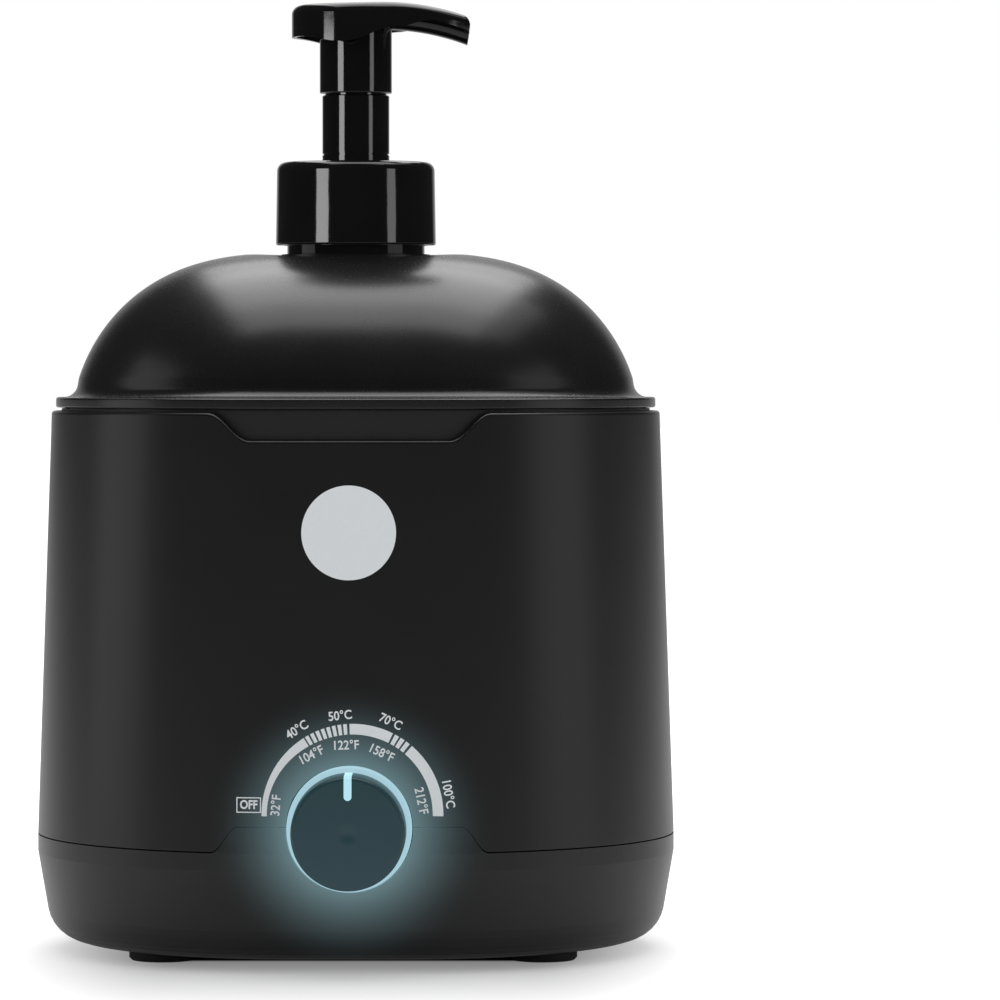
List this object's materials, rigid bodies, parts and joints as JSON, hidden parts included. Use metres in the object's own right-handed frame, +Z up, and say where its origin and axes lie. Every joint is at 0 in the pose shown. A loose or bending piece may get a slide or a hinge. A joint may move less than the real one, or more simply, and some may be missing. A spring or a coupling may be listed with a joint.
{
  "type": "hot lather machine",
  "caption": "Countertop hot lather machine: oval heated water pot with domed lid, foam pump bottle, lit temperature knob and power inlet.",
  "frame": {"origin": "on the floor under the middle of the whole box, with the knob included", "axes": "+Z up, the knob and the dial face -Y, the spout points along +X"},
  "size_m": [0.1882, 0.1738, 0.2792],
  "materials": {
    "housing_black": "satin, fine grain",
    "gloss_black": "polished",
    "frame_black": "matt",
    "foot_rubber": "matt",
    "screw_steel": "zinc plated",
    "pot_steel": "drawn, brushed",
    "plate_aluminium": "cast",
    "element_sheath": "heat stained",
    "sheet_steel": "zinc plated sheet",
    "porcelain": "moulded",
    "bracket_steel": "zinc plated",
    "nut_brass": "nickel brass",
    "bulb_copper": "copper",
    "ring_clear": "clear light guide, lit",
    "board_green": "solder mask",
    "lamp_white": "lamp lens",
    "knob_dark": "satin",
    "pointer_light": "clear insert, lit",
    "pump_clear": "natural polypropylene",
    "pump_white": "white polypropylene",
    "gasket_soft": "soft liner",
    "spring_steel": "drawn wire",
    "pin_brass": "plated"
  },
  "bodies": {
    "machine": {"body_shell": "housing_black", "base_housing": "housing_black", "rubber_feet": "foot_rubber", "base_screws": "screw_steel", "pot_frame": "frame_black", "water_pot": "pot_steel", "heat_plate": "plate_aluminium", "heating_element": "element_sheath", "shield_studs": "screw_steel", "shield_nuts": "screw_steel", "heat_shield": "sheet_steel", "thermal_fuse": "porcelain", "terminal_block": "porcelain", "thermostat_body": "porcelain", "thermostat_bracket": "bracket_steel", "bush_nut": "nut_brass", "sensor_bulb": "bulb_copper", "light_ring": "ring_clear", "led_board": "board_green", "leds": "lamp_white", "inlet_housing": "frame_black", "inlet_pins": "pin_brass"},
    "lid": {"lid": "housing_black", "bottle": "gloss_black"},
    "pump": {"pump_cylinder": "pump_clear", "cylinder_gasket": "gasket_soft", "retaining_ring": "pump_white", "dip_tube": "pump_clear", "valve_ball": "spring_steel", "return_spring": "spring_steel"},
    "collar": {"collar": "gloss_black"},
    "stem": {"stem_sleeve": "gloss_black", "air_piston": "pump_white", "liquid_piston": "pump_white", "mesh_cartridge": "pump_white"},
    "head": {"pump_head": "gloss_black"},
    "knob": {"knob": "knob_dark", "knob_pointer": "pointer_light", "thermostat_shaft": "screw_steel"}
  },
  "joints": [
    {"name": "lid_lift", "type": "slide", "parent": "machine", "child": "lid", "axis": [0, 0, 1], "range_m": [0, 0.12]},
    {"name": "pump_lift", "type": "slide", "parent": "lid", "child": "pump", "axis": [0, 0, 1], "range_m": [0, 0.17]},
    {"name": "collar_turn", "type": "hinge", "parent": "pump", "child": "collar", "pos_m": [0, 0.00838, 0.22], "axis": [0, 0, 1], "range_deg": [0, 540]},
    {"name": "stem_press", "type": "slide", "parent": "pump", "child": "stem", "axis": [0, 0, -1], "range_m": [0, 0.016], "stiffness_N_per_m": 600, "springref_m": -0.004, "deforming": ["return_spring"]},
    {"name": "head_turn", "type": "hinge", "parent": "stem", "child": "head", "pos_m": [0, 0.00838, 0.265], "axis": [0, 0, 1], "continuous": true},
    {"name": "knob_turn", "type": "hinge", "parent": "machine", "child": "knob", "pos_m": [0, -0.06988, 0.0413], "axis": [0, 1, 0], "range_deg": [-82, 82]}
  ]
}
